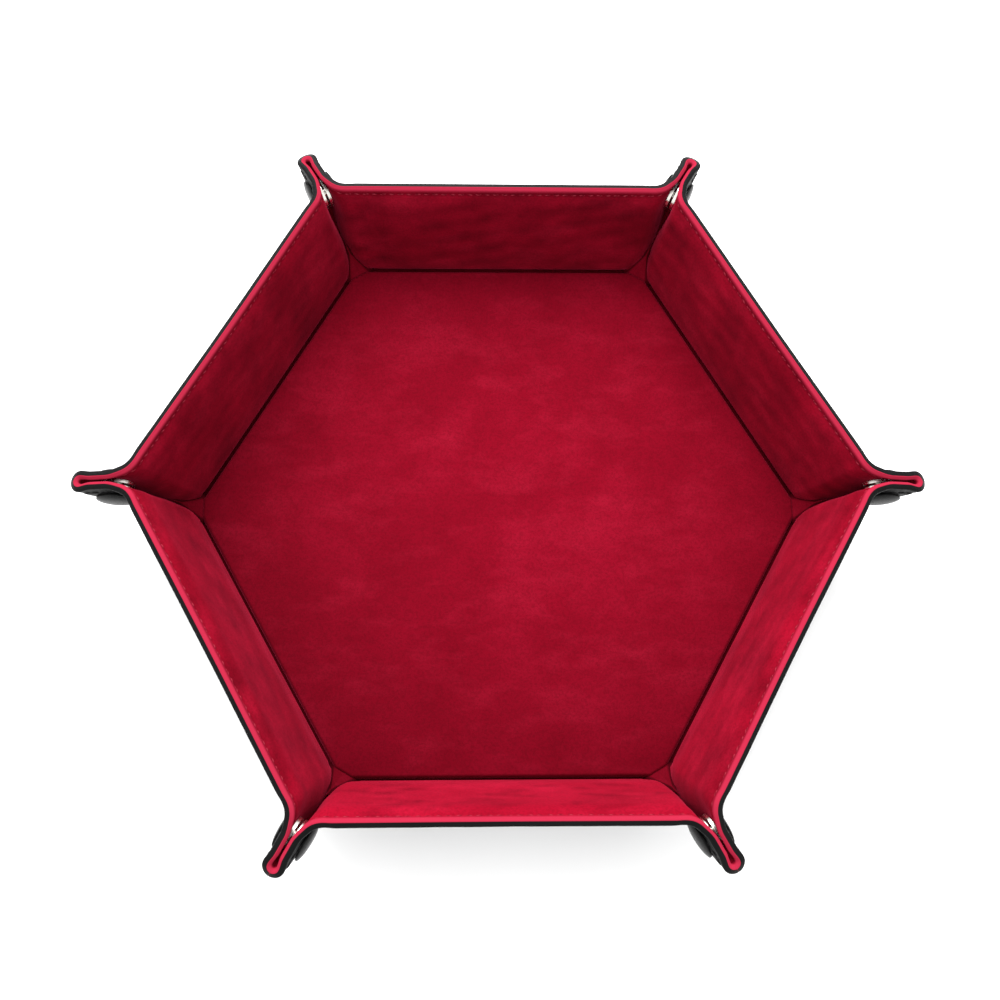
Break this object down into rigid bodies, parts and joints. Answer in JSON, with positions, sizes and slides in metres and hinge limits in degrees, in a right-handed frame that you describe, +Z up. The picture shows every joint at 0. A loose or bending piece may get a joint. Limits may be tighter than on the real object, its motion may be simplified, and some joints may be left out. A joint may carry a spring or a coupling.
{
  "type": "folding dice tray",
  "caption": "Folding dice tray: leather-covered stiff base with a velvet lining and hinged walls; snapped corner ears hold it open, and unsnapped it lies flat.",
  "frame": {"origin": "centre of the underside of the base", "axes": "+X corner to corner, +Y towards the middle of one wall, +Z up"},
  "size_m": [0.2766, 0.2434, 0.041],
  "materials": {
    "leather": "fine grain, semi-matt",
    "board": "plain greyboard",
    "lining": "short-nap velvet",
    "snap_metal": "nickel plated"
  },
  "bodies": {
    "base": {"base_cover": "leather", "base_board": "board", "base_lining": "lining"},
    "wall_1": {"wall_cover_1": "leather", "wall_board_1": "board", "wall_lining_1": "lining"},
    "wall_2": {"wall_cover_2": "leather", "wall_board_2": "board", "wall_lining_2": "lining"},
    "wall_3": {"wall_cover_3": "leather", "wall_board_3": "board", "wall_lining_3": "lining"},
    "wall_4": {"wall_cover_4": "leather", "wall_board_4": "board", "wall_lining_4": "lining"},
    "wall_5": {"wall_cover_5": "leather", "wall_board_5": "board", "wall_lining_5": "lining"},
    "wall_6": {"wall_cover_6": "leather", "wall_board_6": "board", "wall_lining_6": "lining"},
    "ear_1a": {"ear_cover_1a": "leather", "ear_lining_1a": "lining", "snap_socket_1": "snap_metal"},
    "ear_1b": {"ear_cover_1b": "leather", "ear_lining_1b": "lining", "snap_stud_1": "snap_metal"},
    "ear_2a": {"ear_cover_2a": "leather", "ear_lining_2a": "lining", "snap_socket_2": "snap_metal"},
    "ear_2b": {"ear_cover_2b": "leather", "ear_lining_2b": "lining", "snap_stud_2": "snap_metal"},
    "ear_3a": {"ear_cover_3a": "leather", "ear_lining_3a": "lining", "snap_socket_3": "snap_metal"},
    "ear_3b": {"ear_cover_3b": "leather", "ear_lining_3b": "lining", "snap_stud_3": "snap_metal"},
    "ear_4a": {"ear_cover_4a": "leather", "ear_lining_4a": "lining", "snap_socket_4": "snap_metal"},
    "ear_4b": {"ear_cover_4b": "leather", "ear_lining_4b": "lining", "snap_stud_4": "snap_metal"},
    "ear_5a": {"ear_cover_5a": "leather", "ear_lining_5a": "lining", "snap_socket_5": "snap_metal"},
    "ear_5b": {"ear_cover_5b": "leather", "ear_lining_5b": "lining", "snap_stud_5": "snap_metal"},
    "ear_6a": {"ear_cover_6a": "leather", "ear_lining_6a": "lining", "snap_socket_6": "snap_metal"},
    "ear_6b": {"ear_cover_6b": "leather", "ear_lining_6b": "lining", "snap_stud_6": "snap_metal"}
  },
  "joints": [
    {"name": "wall_fold_1", "type": "hinge", "parent": "base", "child": "wall_1", "pos_m": [0.08119, 0.04688, 0.001], "axis": [-0.5, 0.866, 0], "range_deg": [0, 70.8]},
    {"name": "wall_fold_2", "type": "hinge", "parent": "base", "child": "wall_2", "pos_m": [0, 0.09375, 0.001], "axis": [-1, 0, 0], "range_deg": [0, 70.8]},
    {"name": "wall_fold_3", "type": "hinge", "parent": "base", "child": "wall_3", "pos_m": [-0.08119, 0.04688, 0.001], "axis": [-0.5, -0.866, 0], "range_deg": [0, 70.8]},
    {"name": "wall_fold_4", "type": "hinge", "parent": "base", "child": "wall_4", "pos_m": [-0.08119, -0.04688, 0.001], "axis": [0.5, -0.866, 0], "range_deg": [0, 70.8]},
    {"name": "wall_fold_5", "type": "hinge", "parent": "base", "child": "wall_5", "pos_m": [0, -0.09375, 0.001], "axis": [1, 0, 0], "range_deg": [0, 70.8]},
    {"name": "wall_fold_6", "type": "hinge", "parent": "base", "child": "wall_6", "pos_m": [0.08119, -0.04688, 0.001], "axis": [0.5, 0.866, 0], "range_deg": [0, 70.8]},
    {"name": "ear_fold_1a", "type": "hinge", "parent": "wall_1", "child": "ear_1a", "pos_m": [0.10706, 0.00334, 0.0014], "axis": [-0.3143, 0, -0.9493], "range_deg": [0, 58.67]},
    {"name": "ear_fold_1b", "type": "hinge", "parent": "wall_1", "child": "ear_1b", "pos_m": [0.05642, 0.09104, 0.0014], "axis": [0.1572, 0.2722, 0.9493], "range_deg": [0, 58.67]},
    {"name": "ear_fold_2a", "type": "hinge", "parent": "wall_2", "child": "ear_2a", "pos_m": [0.05064, 0.09438, 0.0014], "axis": [-0.1572, -0.2722, -0.9493], "range_deg": [0, 58.67]},
    {"name": "ear_fold_2b", "type": "hinge", "parent": "wall_2", "child": "ear_2b", "pos_m": [-0.05064, 0.09438, 0.0014], "axis": [-0.1572, 0.2722, 0.9493], "range_deg": [0, 58.67]},
    {"name": "ear_fold_3a", "type": "hinge", "parent": "wall_3", "child": "ear_3a", "pos_m": [-0.05642, 0.09104, 0.0014], "axis": [0.1572, -0.2722, -0.9493], "range_deg": [0, 58.67]},
    {"name": "ear_fold_3b", "type": "hinge", "parent": "wall_3", "child": "ear_3b", "pos_m": [-0.10706, 0.00334, 0.0014], "axis": [-0.3143, 0, 0.9493], "range_deg": [0, 58.67]},
    {"name": "ear_fold_4a", "type": "hinge", "parent": "wall_4", "child": "ear_4a", "pos_m": [-0.10706, -0.00334, 0.0014], "axis": [0.3143, 0, -0.9493], "range_deg": [0, 58.67]},
    {"name": "ear_fold_4b", "type": "hinge", "parent": "wall_4", "child": "ear_4b", "pos_m": [-0.05642, -0.09104, 0.0014], "axis": [-0.1572, -0.2722, 0.9493], "range_deg": [0, 58.67]},
    {"name": "ear_fold_5a", "type": "hinge", "parent": "wall_5", "child": "ear_5a", "pos_m": [-0.05064, -0.09438, 0.0014], "axis": [0.1572, 0.2722, -0.9493], "range_deg": [0, 58.67]},
    {"name": "ear_fold_5b", "type": "hinge", "parent": "wall_5", "child": "ear_5b", "pos_m": [0.05064, -0.09438, 0.0014], "axis": [0.1572, -0.2722, 0.9493], "range_deg": [0, 58.67]},
    {"name": "ear_fold_6a", "type": "hinge", "parent": "wall_6", "child": "ear_6a", "pos_m": [0.05642, -0.09104, 0.0014], "axis": [-0.1572, 0.2722, -0.9493], "range_deg": [0, 58.67]},
    {"name": "ear_fold_6b", "type": "hinge", "parent": "wall_6", "child": "ear_6b", "pos_m": [0.10706, -0.00334, 0.0014], "axis": [0.3143, 0, 0.9493], "range_deg": [0, 58.67]}
  ],
  "couplings": [
    {"joint": "wall_fold_2", "follows": "wall_fold_1", "ratio": 1},
    {"joint": "wall_fold_3", "follows": "wall_fold_1", "ratio": 1},
    {"joint": "wall_fold_4", "follows": "wall_fold_1", "ratio": 1},
    {"joint": "wall_fold_5", "follows": "wall_fold_1", "ratio": 1},
    {"joint": "wall_fold_6", "follows": "wall_fold_1", "ratio": 1},
    {"joint": "ear_fold_1a", "follows": "wall_fold_1", "ratio": 0.82802},
    {"joint": "ear_fold_1b", "follows": "wall_fold_1", "ratio": 0.82802},
    {"joint": "ear_fold_2a", "follows": "wall_fold_1", "ratio": 0.82802},
    {"joint": "ear_fold_2b", "follows": "wall_fold_1", "ratio": 0.82802},
    {"joint": "ear_fold_3a", "follows": "wall_fold_1", "ratio": 0.82802},
    {"joint": "ear_fold_3b", "follows": "wall_fold_1", "ratio": 0.82802},
    {"joint": "ear_fold_4a", "follows": "wall_fold_1", "ratio": 0.82802},
    {"joint": "ear_fold_4b", "follows": "wall_fold_1", "ratio": 0.82802},
    {"joint": "ear_fold_5a", "follows": "wall_fold_1", "ratio": 0.82802},
    {"joint": "ear_fold_5b", "follows": "wall_fold_1", "ratio": 0.82802},
    {"joint": "ear_fold_6a", "follows": "wall_fold_1", "ratio": 0.82802},
    {"joint": "ear_fold_6b", "follows": "wall_fold_1", "ratio": 0.82802}
  ]
}
